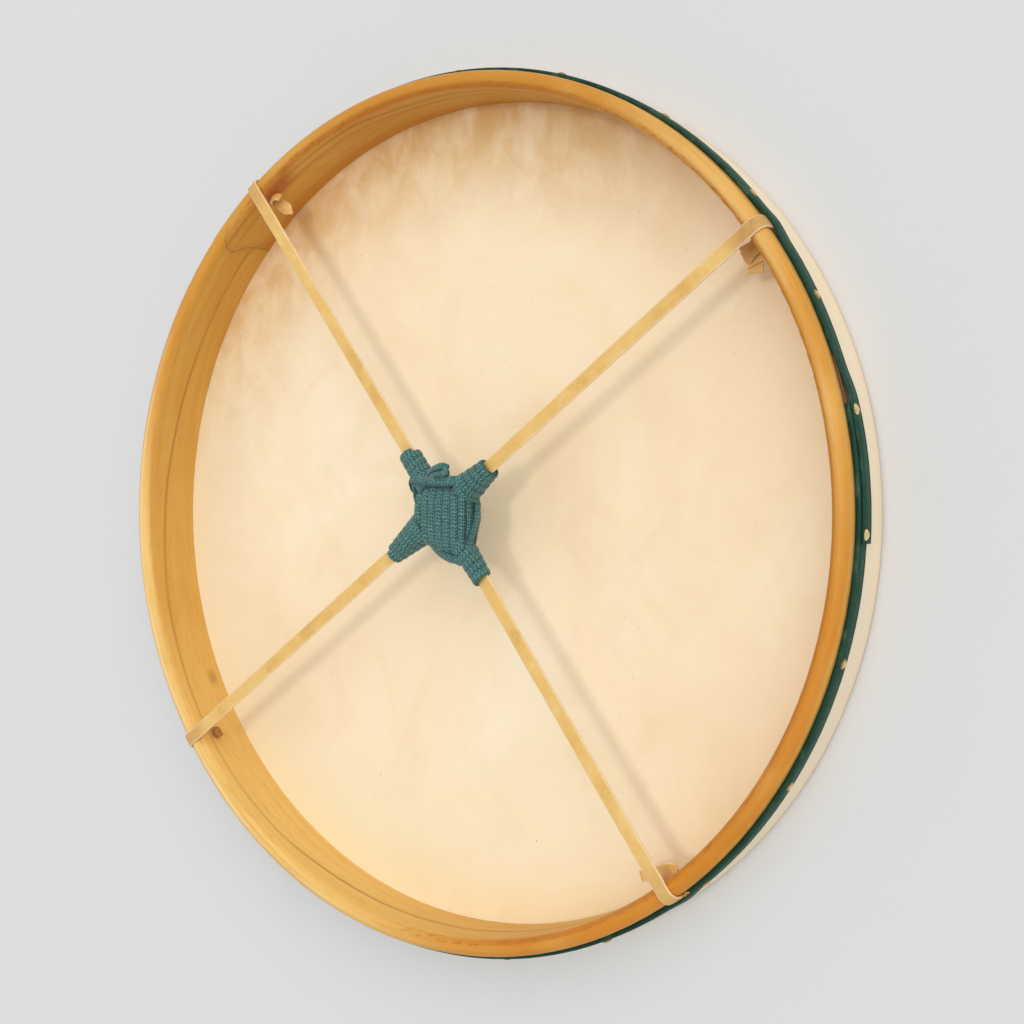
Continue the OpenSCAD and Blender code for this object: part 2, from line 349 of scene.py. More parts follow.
def wood_marks(p, at, colour, broad, patches):
    """Flecks on the rim, two growth lines on the wall, the upper wall's red foot, partly painted shade, a
    stain and a smudge.
    """
    flecks = p.noise(p.stretch(at.grain, (160, 420, 420)), 1.0, 3, 0.6)
    inner_edge = at.at_radius(INNER_R + 1.4 * MM, 0.7 * MM, 1.2 * MM)
    fleck = p.times(inner_edge, at.on_rim, p.fade(flecks, 0.50, 0.62, 0.0, 0.7))
    colour = p.mix(p.times(fleck, at.near(20, 100, 25)), colour, (0.40, 0.135, 0.012))

    growth = p.curve(at.circle, GROWTH_LINE)
    off_growth = p.math("SUBTRACT", at.z, p.times(growth, CURVE_H))
    off_growth = p.math("ADD", off_growth, p.times(p.math("SUBTRACT", patches, 0.5), 2 * MM))
    faint = p.fade(broad, 0.35, 0.6, 0.25, 0.6)
    mark = p.times(p.line(off_growth, 0.2 * MM, 1.5 * MM), faint, at.inside)
    colour = p.mix(mark, colour, (0.36, 0.135, 0.018))
    below = p.math("ADD", off_growth, 6.5 * MM)
    second = p.times(p.line(below, 0.2 * MM, 1.6 * MM), at.near(106, 20, 14), 0.4)
    colour = p.mix(second, colour, (0.42, 0.155, 0.02))

    # Partly painted shade: the foot of the top wall, in its corner with the skin, darker and redder; partly
    # the wood's own red tone.
    foot = p.times(p.fade(at.z, 4 * MM, 13 * MM, 0.55, 0.0), at.near(110, 22, 16))
    colour = p.mix(foot, colour, (0.60, 0.20, 0.015))
    stain = p.times(at.near(121.5, 1.2, 3.4), at.at_height(31 * MM, 2 * MM, 8 * MM), at.inside, 0.75)
    colour = p.mix(stain, colour, (0.44, 0.105, 0.022))
    smudge = p.times(at.near(207.5, 0.3, 1.6), at.at_height(8 * MM, 1 * MM, 4 * MM), at.inside, 0.45)
    return p.mix(smudge, colour, (0.33, 0.14, 0.03))


def wood_wear(p, at, colour, broad, patches):
    """A dark streak along the rim's inner edge, a painted highlight along the top of the rim, and a painted
    shadow on the wood just above the band.
    """
    streak = p.times(at.at_radius(INNER_R + 1.3 * MM, 0.5 * MM, 1.3 * MM), at.on_rim,
                     p.fade(broad, 0.32, 0.56, 0.25, 0.8))
    streak = p.times(streak, p.math("MAXIMUM", at.near(348, 60, 20), at.near(82, 34, 16)))
    colour = p.mix(streak, colour, (0.54, 0.17, 0.012))
    # Painted highlight: a pale line along the top of the rim, at the stretches where the lamps catch it.
    wear_and_painted_light = p.math("MAXIMUM", at.near(208, 36, 30), p.times(at.near(30, 10, 30), 0.3))
    crest_highlight = p.times(at.at_radius(RIM_R, 0.2 * MM, 1.6 * MM), at.on_rim, wear_and_painted_light,
                    p.fade(patches, 0.35, 0.6, 0.25, 0.7))
    colour = p.mix(crest_highlight, colour, (0.98, 0.70, 0.34))
    # Painted shadow: the hoop's outer face darkened just above the band, where the band stands proud of the
    # wood.
    band_shadow = p.times(p.fade(at.z, BAND_TOP - 0.5 * MM, BAND_TOP + 2.2 * MM, 0.75, 0.0),
                    p.fade(at.r, HOOP_R - 1.5 * MM, HOOP_R - 0.3 * MM))
    return p.mix(band_shadow, colour, (0.20, 0.07, 0.015))


def hoop_wood():
    """Steam-bent hardwood under honey lacquer: long grain, marks, wear, painted light and shade, and the
    scarf joint.
    """
    p = Paint("hoop_wood", Coat_Weight=0.08, Coat_Roughness=0.3, Specular_IOR_Level=0.3)
    at = HoopPlace(p)
    broad = p.noise(p.stretch(at.grain, (5, 60, 40)), 1.0, 5, 0.6, 0.5)
    fine = p.noise(p.stretch(at.grain, (12, 300, 300)), 1.0, 4, 0.6, 0.3)
    patches = p.noise(p.stretch(at.grain, (12, 24, 24)), 1.0, 3, 0.5, 0.4)
    colour = wood_tone(p, at, broad, fine, patches)
    colour = wood_marks(p, at, colour, broad, patches)
    colour = wood_wear(p, at, colour, broad, patches)

    joint = p.math("MINIMUM", p.math("ABSOLUTE", at.from_joint),
                   p.math("ABSOLUTE", p.math("SUBTRACT", at.from_joint, 2 * math.pi)))
    seam = p.times(p.line(joint, math.radians(0.05), math.radians(0.25)), at.inside)
    colour = p.mix(p.times(seam, 0.45), colour, (0.30, 0.12, 0.025))
    glow = p.times(p.fade(joint, 0.0, math.radians(2.2), 0.22, 0.0), at.inside)
    colour = p.mix(glow, colour, (0.42, 0.18, 0.035))

    height = p.math("SUBTRACT", p.times(fine, 0.4), p.times(seam, 0.8))
    rough = p.fade(fine, 0.3, 0.7, 0.42, 0.56)
    return p.finish(colour, rough, height, 0.12 * MM, 0.5)


def skin_tone(p, blotch, streaks):
    """Cream clouds, mottled brown towards the drum's top partly as painted shade under the top wall, paler at
    its lower left and warmer at its right.
    """
    xyz = p.add("ShaderNodeSeparateXYZ", {0: p.place})
    x, y = xyz.outputs[0], xyz.outputs[1]
    r = p.radius(x, y)
    clouds = p.noise(p.stretch(p.place, (8, 7, 8)), 1.0, 5, 0.6, 0.6)
    mottle = p.noise(p.stretch(p.place, (46, 38, 40)), 1.0, 5, 0.62, 0.6)
    colour = p.ramp(clouds, (0.3, (0.93, 0.72, 0.455)), (0.5, (0.97, 0.79, 0.54)),
                    (0.7, (0.98, 0.845, 0.62)))
    colour = p.mix(p.fade(blotch, 0.46, 0.72, 0.0, 0.30), colour, (0.89, 0.65, 0.40))
    upward = p.math("DIVIDE", p.math("SUBTRACT", y, p.times(x, 0.45)), p.math("MAXIMUM", r, 0.01))
    high = p.times(p.fade(upward, 0.2, 0.95), p.fade(r, 0.14, 0.222))
    # Partly painted shade: the skin next to the top wall browner and darker, partly its own mottled browning.
    browned_and_shaded = p.fade(p.math("ADD", mottle, p.times(streaks, 0.35)), 0.44, 0.86, 0.30, 0.86)
    colour = p.mix(p.times(high, browned_and_shaded), colour, (0.70, 0.39, 0.105))
    leftward = p.math("DIVIDE", p.math("ADD", x, p.times(y, 0.5)), p.math("MAXIMUM", r, 0.01))
    paler = p.times(p.fade(leftward, -0.95, -0.35, 1.0, 0.0), p.fade(r, 0.15, 0.22), 0.7)
    colour = p.mix(paler, colour, (0.86, 0.76, 0.53))
    colour = p.mix(p.fade(x, 0.10, 0.21, 0.0, 0.35), colour, (0.92, 0.68, 0.39))
    return p.mix(p.fade(y, -0.21, -0.10, 0.35, 0.0), colour, (0.95, 0.83, 0.54))


def spots(p, scale, channel, size, share, strength):
    """Scattered round spots: cells of one size, of which only those over a share of one channel show."""
    cells = p.add("ShaderNodeTexVoronoi", {"Vector": p.place, "Scale": scale, "Randomness": 1.0})
    chosen = p.add("ShaderNodeSeparateColor", {0: cells.outputs["Color"]}).outputs[channel]
    spot = p.times(p.fade(cells.outputs["Distance"], *size, 1.0, 0.0), p.fade(chosen, *share))
    return p.times(spot, strength)


def stretched_skin():
    """Scraped goatskin: clouds and mottling, flecks, dots and pores, sides painted paler as painted light,
    and the top of the skin's edge painted dark as the shadow in the gap between hoop and band.
    """
    p = Paint("goat_skin", Specular_IOR_Level=0.3)
    z = p.add("ShaderNodeSeparateXYZ", {0: p.place}).outputs[2]
    blotch = p.noise(p.stretch(p.place, (24, 19, 20)), 1.0, 5, 0.62, 1.0)
    streaks = p.noise(p.stretch(p.place, (70, 13, 60)), 1.0, 4, 0.65, 0.6)
    pores = p.noise(p.place, 900.0, 2, 0.6)
    colour = skin_tone(p, blotch, streaks)
    colour = p.mix(spots(p, 75.0, 0, (0.02, 0.055), (0.88, 0.92), 0.5), colour, (0.40, 0.20, 0.08))
    colour = p.mix(spots(p, 230.0, 1, (0.05, 0.16), (0.93, 0.96), 0.35), colour, (0.50, 0.27, 0.11))
    colour = p.mix(p.fade(pores, 0.55, 0.75, 0.0, 0.10), colour, (0.6, 0.38, 0.2))
    # Painted light: the skin's turned-up sides, above 8 mm, painted paler as if lit from the side.
    colour = p.mix(p.fade(z, 2 * MM, 8 * MM, 0.0, 0.7), colour, (0.97, 0.83, 0.62))
    # Painted shadow: the top of the skin's edge painted near black, for the shadowed gap between the wood and
    # the band.
    gap_shadow = p.fade(z, SKIN_TOP - 3.6 * MM, SKIN_TOP - 2.2 * MM, 0.0, 0.97)
    colour = p.mix(gap_shadow, colour, (0.14, 0.06, 0.02))

    height = p.math("ADD", p.times(pores, 0.5), p.times(streaks, 0.5))
    rough = p.fade(blotch, 0.3, 0.7, 0.52, 0.66)
    return p.finish(colour, rough, height, 0.10 * MM, 0.4)


def band_leather():
    """Dyed green leather, waxed smooth, with pale lengthwise streaks that are partly real scratches and
    partly painted sheen, and darker edges and creases.
    """
    p = Paint("band_leather", Specular_IOR_Level=0.10)
    across = p.attribute("across")
    xyz = p.add("ShaderNodeSeparateXYZ", {0: p.place})
    turn = p.math("ARCTAN2", xyz.outputs[1], xyz.outputs[0])
    lengthwise = p.combine(p.times(turn, HOOP_R), xyz.outputs[2], 0.0)
    grain = p.add("ShaderNodeTexVoronoi", {"Vector": p.place, "Scale": 2200.0}).outputs["Distance"]
    cloud = p.noise(p.place, 60.0, 4, 0.6)
    rub = p.noise(p.place, 500.0, 4, 0.7)
    scuff_and_sheen = p.noise(p.stretch(lengthwise, (60, 1400, 1)), 1.0, 4, 0.65)
    colour = p.ramp(cloud, (0.3, (0.014, 0.055, 0.034)), (0.7, (0.024, 0.083, 0.054)))
    at_edge = p.fade(p.math("ABSOLUTE", across), 0.75, 0.98)
    edge = p.times(at_edge, p.fade(rub, 0.4, 0.6, 0.25, 0.6))
    colour = p.mix(edge, colour, (0.012, 0.042, 0.027))
    # Partly painted sheen: pale lengthwise streaks, partly real scratches in the leather.
    colour = p.mix(p.fade(scuff_and_sheen, 0.52, 0.70, 0.0, 0.5), colour, (0.10, 0.19, 0.13))
    crease = p.line(p.math("SUBTRACT", p.math("ABSOLUTE", across), 0.62), 0.03, 0.08)
    colour = p.mix(p.times(crease, 0.7), colour, (0.005, 0.020, 0.012))
    height = p.math("ADD", p.times(grain, 0.6), p.times(rub, 0.5))
    rough = p.fade(rub, 0.3, 0.7, 0.42, 0.58)
    return p.finish(colour, rough, height, 0.06 * MM, 0.6)


def tack_brass():
    """Drawn brass, polished on the crown and darkened brown where it meets the leather, partly as oxide and
    partly as a painted dark reflection.
    """
    p = Paint("tack_brass", Metallic=1.0)
    xyz = p.add("ShaderNodeSeparateXYZ", {0: p.place})
    x, y = xyz.outputs[0], xyz.outputs[1]
    r = p.radius(x, y)
    stain = p.noise(p.place, 450.0, 4, 0.6)
    scratch = p.noise(p.stretch(p.place, (900, 5000, 900)), 1.0, 3, 0.6)
    colour = p.ramp(stain, (0.3, (0.80, 0.52, 0.20)), (0.55, (0.93, 0.70, 0.34)), (0.8, (0.98, 0.82, 0.50)))
    seat = HOOP_R + SKIN_T + BAND_T
    # Partly painted reflection: the heads darker brown towards the leather, standing in for the dark they
    # reflect, partly oxide.
    tarnish_and_painted_reflection = p.fade(r, seat + 0.1 * MM, seat + 1.3 * MM, 0.85, 0.0)
    colour = p.mix(tarnish_and_painted_reflection, colour, (0.20, 0.085, 0.025))
    rough = p.math("ADD", p.fade(scratch, 0.3, 0.7, 0.14, 0.26), p.times(tarnish_and_painted_reflection, 0.3))
    return p.finish(colour, rough, scratch, 0.02 * MM, 0.4)


def rawhide():
    """Amber rawhide strip: waxy, with pale cut edges, darker brown over the rim from wear and, at the upper
    left end, painted shade, and darker in its folds as painted shade.
    """
    p = Paint("rawhide", Specular_IOR_Level=0.4)
    fibre = p.noise(p.place, 240.0, 5, 0.65, 0.6)
    cloud = p.noise(p.place, 55.0, 4, 0.6)
    speck = p.noise(p.place, 1300.0, 2, 0.5)
    colour = p.ramp(cloud, (0.3, (0.72, 0.42, 0.105)), (0.5, (0.81, 0.505, 0.150)),
                    (0.72, (0.86, 0.585, 0.21)))
    colour = p.mix(p.fade(fibre, 0.45, 0.75, 0.0, 0.35), colour, (0.90, 0.63, 0.26))
    # Partly painted shade: darker brown over the rim, from real wear at most ends and as painted shade at the
    # upper left end.
    wear_and_painted_light = p.times(p.attribute("wear_and_painted_light"), p.fade(p.math("ADD", fibre, cloud), 0.7, 1.2, 0.45, 1.0))
    colour = p.mix(wear_and_painted_light, colour, (0.53, 0.27, 0.085))
    pale = p.times(p.fade(p.attribute("edge"), 0.74, 1.0), p.fade(fibre, 0.3, 0.6, 0.45, 0.9))
    colour = p.mix(pale, colour, (0.93, 0.69, 0.43))
    # Painted shade: the strip darker reddish brown in the folds of the stops; on the scraps, their own brown.
    brown = p.times(p.attribute("brown"), p.fade(fibre, 0.3, 0.7, 0.75, 1.0))
    colour = p.mix(brown, colour, (0.42, 0.145, 0.015))
    colour = p.mix(p.fade(speck, 0.62, 0.75, 0.0, 0.35), colour, (0.55, 0.29, 0.08))
    height = p.math("ADD", p.times(fibre, 0.7), p.times(speck, 0.3))
    rough = p.fade(cloud, 0.3, 0.7, 0.40, 0.56)
    return p.finish(colour, rough, height, 0.10 * MM, 0.6)


def grip_yarn():
    """Matt teal cotton knit with painted light and shade: raised stitches painted pale, gaps painted dark,
    and a fine fuzz.
    """
    p = Paint("grip_yarn", Sheen_Weight=0.4, Sheen_Roughness=0.45, Specular_IOR_Level=0.2)
    relief = p.attribute("relief")
    fuzz = p.noise(p.place, 2600.0, 4, 0.7)
    strand = p.noise(p.place, 900.0, 3, 0.6, 1.5)
    tone = p.noise(p.place, 70.0, 3, 0.5)
    # Painted light and shade: the stored relief, darker in the gaps and at the cord's flanks, runs the colour
    # from dark to pale.
    lit = p.math("ADD", relief, p.times(p.math("SUBTRACT", fuzz, 0.5), 0.6))
    colour = p.ramp(lit, (0.08, (0.006, 0.026, 0.026)), (0.38, (0.038, 0.118, 0.110)),
                    (0.68, (0.090, 0.235, 0.215)), (0.98, (0.24, 0.45, 0.41)))
    colour = p.mix(p.fade(tone, 0.35, 0.7, 0.0, 0.3), colour, (0.070, 0.165, 0.158))
    colour = p.mix(p.fade(strand, 0.56, 0.70, 0.0, 0.4), colour, (0.22, 0.38, 0.35))
    height = p.math("ADD", p.times(fuzz, 0.5), p.times(strand, 0.5))
    rough = p.fade(fuzz, 0.3, 0.7, 0.8, 0.95)
    return p.finish(colour, rough, height, 0.25 * MM, 0.7)


def dress_cad_node(node, material):
    """Gives a CAD node that keeps its own mesh a finished material."""
    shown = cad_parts[node]
    shown.data.materials.clear()
    shown.data.materials.append(material)


# ---- Camera, light and floor ----

def camera():
    """Looks down on the open side from the right, 35 degrees off the hoop's axis."""
    data = bpy.data.cameras.new("camera")
    data.lens = 53.4
    data.sensor_width = 36
    data.clip_start = 0.01
    data.clip_end = 50
    seen = bpy.data.objects.new("camera", data)
    right = Vector((0.81847, 0.0, -0.57456))
    back = Vector((0.57454, 0.00706, 0.81845))
    up = back.cross(right)
    seen.matrix_world = Matrix((right, up, back)).transposed().to_4x4()
    seen.location = (0.48781, 0.00664, 0.66228)
    bpy.context.scene.collection.objects.link(seen)
    bpy.context.scene.camera = seen


def sun(name, towards, strength, spread, colour=(1, 1, 1)):
    """A soft, even light from the direction towards, spread degrees wide."""
    data = bpy.data.lights.new(name, "SUN")
    data.energy = strength
    data.angle = math.radians(spread)
    data.color = colour
    lamp = bpy.data.objects.new(name, data)
    lamp.rotation_euler = Vector(towards).to_track_quat("Z", "Y").to_euler()
    bpy.context.scene.collection.objects.link(lamp)


def studio():
    """Pale floor, an even sky, a small near-axial key and a wide softbox to the drum's upper right."""
    half = 6.0
    corners = [(-half, -half), (half, -half), (half, half), (-half, half)]
    mesh = bpy.data.meshes.new("floor")
    mesh.from_pydata([(x, y, -0.5 * MM) for x, y in corners], [], [(0, 1, 2, 3)])
    p = Paint("floor_paper")
    speckle = p.noise(p.place, 40.0, 3, 0.5)
    colour = p.mix(speckle, (0.715, 0.715, 0.715), (0.725, 0.725, 0.725))
    mesh.materials.append(p.finish(colour, p.fade(speckle, 0.0, 1.0, 0.9, 1.0), speckle, 0.01 * MM, 0.1))
    floor = bpy.data.objects.new("floor", mesh)
    bpy.context.scene.collection.objects.link(floor)

    world = bpy.data.worlds.new("studio")
    world.use_nodes = True
    world.node_tree.nodes["Background"].inputs["Color"].default_value = (0.96, 0.98, 1.0, 1.0)
    world.node_tree.nodes["Background"].inputs["Strength"].default_value = 0.60
    bpy.context.scene.world = world
    sun("key", (0.1245, 0.054, 1.0), 0.45, 8)
    sun("softbox", (0.48, 0.44, 0.8), 1.17, 65, (1.0, 0.985, 0.96))
    view = bpy.context.scene.view_settings
    view.view_transform = "Standard"
    view.look = "None"
    view.exposure = 0.0
    view.gamma = 1.0


# ---- Drumhead ----

def over_laces(degrees, half_width):
    """How much a thin layer stands off over the lace ends at an angle, from 0 to 1."""
    lift = 0.0
    for a in LACE_ANGLES:
        arc = np.radians(turn_between(degrees, a)) * HOOP_R
        lift = lift + bump_at(arc, 0.0, half_width)
    return np.clip(lift, 0, 1)


def drumhead(material):
    """The skin: a taut disc that turns up round the bearing edge and stands off over the lace ends."""
    skin_gap = 0.04 * MM
    inner_r = HOOP_R + skin_gap
    outer_r = HOOP_R + SKIN_T
    corner_in, corner_out = BEARING_R, BEARING_R + SKIN_T
    disc = list(np.linspace(0.5 * MM, HOOP_R - corner_in - 1 * MM, 34))
    edge_z = SKIN_TOP - 0.7 * MM
    rise = np.linspace(corner_out + SKIN_T, edge_z, 16)
    turns = np.radians(np.linspace(0, 90, 7))
    inside, outside = [], []
    for r in disc:
        inside.append((r, SKIN_T - skin_gap))
        outside.append((r, 0.0))
    for t in turns:
        s, c = math.sin(t), math.cos(t)
        inside.append((inner_r - corner_in * (1 - s), SKIN_T - skin_gap + corner_in * (1 - c)))
        outside.append((outer_r - corner_out * (1 - s), corner_out * (1 - c)))
    for z in rise:
        inside.append((inner_r, z))
        outside.append((outer_r, z))
    lip = [(inner_r + SKIN_T * 0.25, edge_z + 0.12 * MM), (outer_r - SKIN_T * 0.25, edge_z + 0.12 * MM)]
    section = np.array(inside + lip + outside[::-1])

    rings = []
    for degrees in np.arange(0, 360, 0.5):
        r, z = section[:, 0].copy(), section[:, 1].copy()
        up = smooth_step(r, HOOP_R - 1 * MM, HOOP_R)
        z = z + 0.15 * MM * wobble(degrees, 1, 0.09) * smooth_step(z, edge_z - 3 * MM, edge_z)
        lift = over_laces(degrees, 10 * MM) * smooth_step(z, 13 * MM, 22 * MM)
        pucker = 0.10 * MM * wobble(degrees, 2, 0.45) * smooth_step(z, 4 * MM, 20 * MM)
        r = r + up * (STAND_OFF * lift + np.maximum(pucker, 0))
        a = math.radians(degrees)
        rings.append(np.stack([r * math.cos(a), r * math.sin(a), z], axis=1))
    piece = new_piece("drumhead", rings, material, closed_path=True)
    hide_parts("drumhead")


# ---- Trim band ----

def trim_band(material):
    """The leather band: once round the hoop over the skin's edge, its upper end lapped over the lower."""
    step = 0.25
    half = BAND_W / 2
    across = np.array([-1, -0.96, -0.85, -0.7, -0.62, -0.54, -0.35, 0, 0.35, 0.54, 0.62, 0.7, 0.85, 0.96, 1])
    crown = np.array([0.45, 0.8, 0.93, 0.93, 0.80, 0.95, 1.0, 1.03, 1.0, 0.95, 0.80, 0.93, 0.93, 0.8, 0.45])
    under = np.array([1, 0.94, 0.93, 0.85, 0.5, 0, -0.5, -0.85, -1])
    tops = np.concatenate([across, under])
    heights = np.concatenate([crown, np.zeros(len(under))])
    lip = np.zeros(len(tops))
    lip[len(across):len(across) + 2] = SKIN_T
    top_end, low_end = BAND_ENDS
    rings = []
    for degrees in np.arange(top_end, 360 + low_end + step / 2, step):
        upper = 1 - smooth_step(degrees, low_end + 0.5, low_end + 5)
        lapped = 1 - smooth_step(degrees, low_end - 6, low_end + 8)
        wander = 0.15 * MM * wobble(degrees, 3, 0.05)
        z = BAND_MID + tops * half * (1 + 0.02 * wobble(degrees, 4, 0.2)) - BAND_SHIFT * lapped + wander
        lift = over_laces(degrees, 12 * MM)
        body = heights * BAND_T + 0.06 * MM * wobble(degrees, 5, 1.2) * (heights > 0)
        tuck = lip * (1 - smooth_step(lapped, 0.0, 0.12)) * (1 - lift)
        r = HOOP_R + SKIN_T + 0.05 * MM + BAND_T * 0.98 * upper + lift * STAND_OFF + body - tuck
        a = math.radians(degrees)
        rings.append(np.stack([r * math.cos(a), r * math.sin(a), z], axis=1))
    attribute = np.tile(tops, (len(rings), 1))
    piece = new_piece("trim_band", rings, material, attributes={"across": attribute})
    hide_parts("trim_band")


# ---- Laces ----

def crossing(p, q, r, s):
    """Where the plan's line from p to q meets the one from r to s."""
    d, e, f = q - p, s - r, r - p
    k = (f.x * e.y - f.y * e.x) / (d.x * e.y - d.y * e.x)
    return p + k * d


RIM = [polar(RIM_R, a) for a in LACE_ANGLES]
CROSS = crossing(RIM[0], RIM[2], RIM[1], RIM[3])


def strip_rings(centres, sides, widths, thicks, squareness):
    """Rings of a flat strip round a centre line; squareness runs from 2, round, to about 6, flat."""
    centres, sides = np.asarray(centres, float), unit(np.asarray(sides, float))
    tangents = unit(np.gradient(centres, axis=0))
    sides = unit(sides - tangents * np.sum(sides * tangents, axis=1, keepdims=True))
    normals = np.cross(tangents, sides)
    t = np.radians(np.arange(0, 360, 15.0))[None, :]
    power = 2 / np.asarray(squareness, float)[:, None]
    x = np.sign(np.cos(t)) * np.abs(np.cos(t)) ** power * np.asarray(widths)[:, None] / 2
    y = np.sign(np.sin(t)) * np.abs(np.sin(t)) ** power * np.asarray(thicks)[:, None] / 2
    rings = centres[:, None, :] + sides[:, None, :] * x[:, :, None] + normals[:, None, :] * y[:, :, None]
    edge = np.abs(x) / (np.asarray(widths)[:, None] / 2)
    return rings, edge


def strip(name, centres, sides, width, thick, material, seed, roll=0.0, wear_and_painted_light=0.0, brown=0.0, taper=1.0):
    """One stretch of rawhide strip.

    roll says, ring by ring, how far it is rolled up, from 0 to 1; the next argument how far it is
    darkened over the rim, by wear and by painted shade, and brown how far it is darkened, as painted
    shade in the stops' folds and as the scraps' own colour; taper scales its width.
    """
    n = len(centres)
    roll, wear_and_painted_light, brown, taper = (np.broadcast_to(v, (n,)) * 1.0 for v in (roll, wear_and_painted_light, brown, taper))
    uneven = np.array([wobble(i, seed, 0.11) for i in range(n)])
    widths = taper * width * (1 + 0.05 * uneven) * (1 - roll) + ROLLED_W * roll
    thicks = thick * (1 + 0.10 * np.roll(uneven, 5)) * (1 - roll) + ROLLED_T * roll
    square = 5.0 * (1 - roll) + 2.0 * roll
    lean = 0.05 * np.array([wobble(i, seed + 3, 0.05) for i in range(n)])[:, None]
    sides = unit(np.asarray(sides, float)) + lean * np.array([0, 0, 1.0])
    rings, edge = strip_rings(centres, sides, widths, thicks, square)
    attributes = {"edge": edge * (1 - 0.6 * roll[:, None]), "wear_and_painted_light": wear_and_painted_light[:, None] * np.ones_like(edge),
                  "brown": brown[:, None] * np.ones_like(edge)}
    return new_piece(name, rings, material, attributes=attributes)


def lace(name, i, j, drop, material, seed, wear_and_painted_light):
    """A lace from its hole at end i, over the rim, past the crossing and down to its hole at end j."""
    p, q = RIM[i], RIM[j]
    direction = (p - q).normalized()
    middle = (p + q) / 2
    half = (p - q).length / 2
    off = LACE_GAP + LACE_T / 2
    bend = EDGE_R + off
    tuck = 1.6 * MM
    hook = []
    for t in np.radians(np.arange(90, -1, -6)):
        hook.append((half + bend * math.cos(t), TOP_Z - EDGE_R + bend * math.sin(t)))
    hook.append((half + bend, LACE_HOLE_Z + 5 * MM))
    for t in np.radians(np.arange(0, 91, 15)):
        hook.append((half + bend - tuck * (1 - math.cos(t)), LACE_HOLE_Z + tuck * (1 - math.sin(t))))
    hook.append((half - EDGE_R - 1.5 * MM, LACE_HOLE_Z))
    across = (CROSS - middle).dot(direction)
    line = [(-s, z) for s, z in hook[::-1]] + [(across, TOP_Z + off - drop)] + hook
    line = even_line(line, 1.2 * MM)
    centres = np.array([list(middle + direction * s + Vector((0, 0, z))) for s, z in line])
    side = np.tile([-direction.y, direction.x, 0.0], (len(centres), 1))
    roll = smooth_step(-line[:, 1], -(LACE_HOLE_Z + 3.5 * MM), -(LACE_HOLE_Z + 0.5 * MM))
    over_rim = smooth_step(np.abs(line[:, 0]), half - 20 * MM, half - 4 * MM)
    # Darker over the rim at each end: wear, and at the upper left end painted shade.
    wear = over_rim * np.where(line[:, 0] > 0, wear_and_painted_light[0], wear_and_painted_light[1])
    return strip(name, centres, side, LACE_W, LACE_T, material, seed, roll, wear)


def fold(name, i, points, sides, material, seed, width=LACE_W, thick=LACE_T,
         brown=(0.0, 0.0), taper=(1.0, 1.0)):
    """A folded end of a lace, by the hole of lace end i.

    Each point is (inward from the wall, round the hoop, up from the hole), and each side is the
    strip's width direction in the same axes, all in millimetres. brown and taper run along the fold.
    """
    out = polar(1.0, LACE_ANGLES[i])
    round_hoop = Vector((-out.y, out.x, 0))
    base = polar(INNER_R, LACE_ANGLES[i], LACE_HOLE_Z)

    def place(v):
        return -out * v[0] + round_hoop * v[1] + Vector((0, 0, v[2]))

    line = smooth_line([[*(base + place(p) * MM), *place(s)] for p, s in zip(points, sides)], 0.7 * MM)
    along = np.linspace(0, 1, len(line))
    # brown darkens the fold: painted shade in the stops, and the scraps' own colour.
    tone = np.interp(along, np.linspace(0, 1, len(brown)), brown)
    scale = np.interp(along, np.linspace(0, 1, len(taper)), taper)
    return strip(name, line[:, :3], line[:, 3:], width, thick, material, seed, 0.0, 0.3 * tone, tone, scale)


def lace_rising(material):
    """The lower-left to upper-right lace: a flat folded stop at one end and a small knob at the other."""
    pieces = [
        lace("lace_rising", 0, 2, RISING_DROP, material, 11, (1.0, 0.65)),
        fold("stop_a", 0, [(-1, -1.5, 0), (4, -1.8, 0), (8, -2, -0.6), (11.2, -2.2, -2.2)],
             [(0, 1, 0), (0, 1, 0), (0, 1, 0), (0.2, 1, 0)], material, 12, brown=(0.95, 0.8, 0.5)),
        fold("stop_b", 0, [(6.0, 2.9, -2.4), (7.3, -2.5, -2.9), (8.5, -7.4, -3.4)],
             [(0.79, 0.62, 0), (0.79, 0.62, 0), (0.79, 0.62, 0)], material, 13, 10.4 * MM,
             brown=(0.8, 0.25, 0.15)),
        fold("stop_c", 0, [(8, -3.5, -4.7), (10, -6.7, -4.9), (12.1, -9.8, -5.0)],
             [(0.70, 0.71, 0), (0.70, 0.71, 0), (0.72, 0.70, 0)], material, 14, 8.2 * MM, brown=(0.3, 0.1)),
        fold("stop_d", 2, [(-1, 0.4, 0), (0.8, 1.3, 0), (2.4, 2.2, 0.2), (3.3, 2.4, 1.4)],
             [(0, 1, 0), (0, 1, 0.1), (0.2, 1, 0), (0.2, 1, 0)], material, 15, 6.4 * MM, 4.6 * MM,
             brown=(1.0, 1.0, 1.0)),
    ]
    piece = join_pieces(pieces, "lace_rising")
    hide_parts("lace_rising")


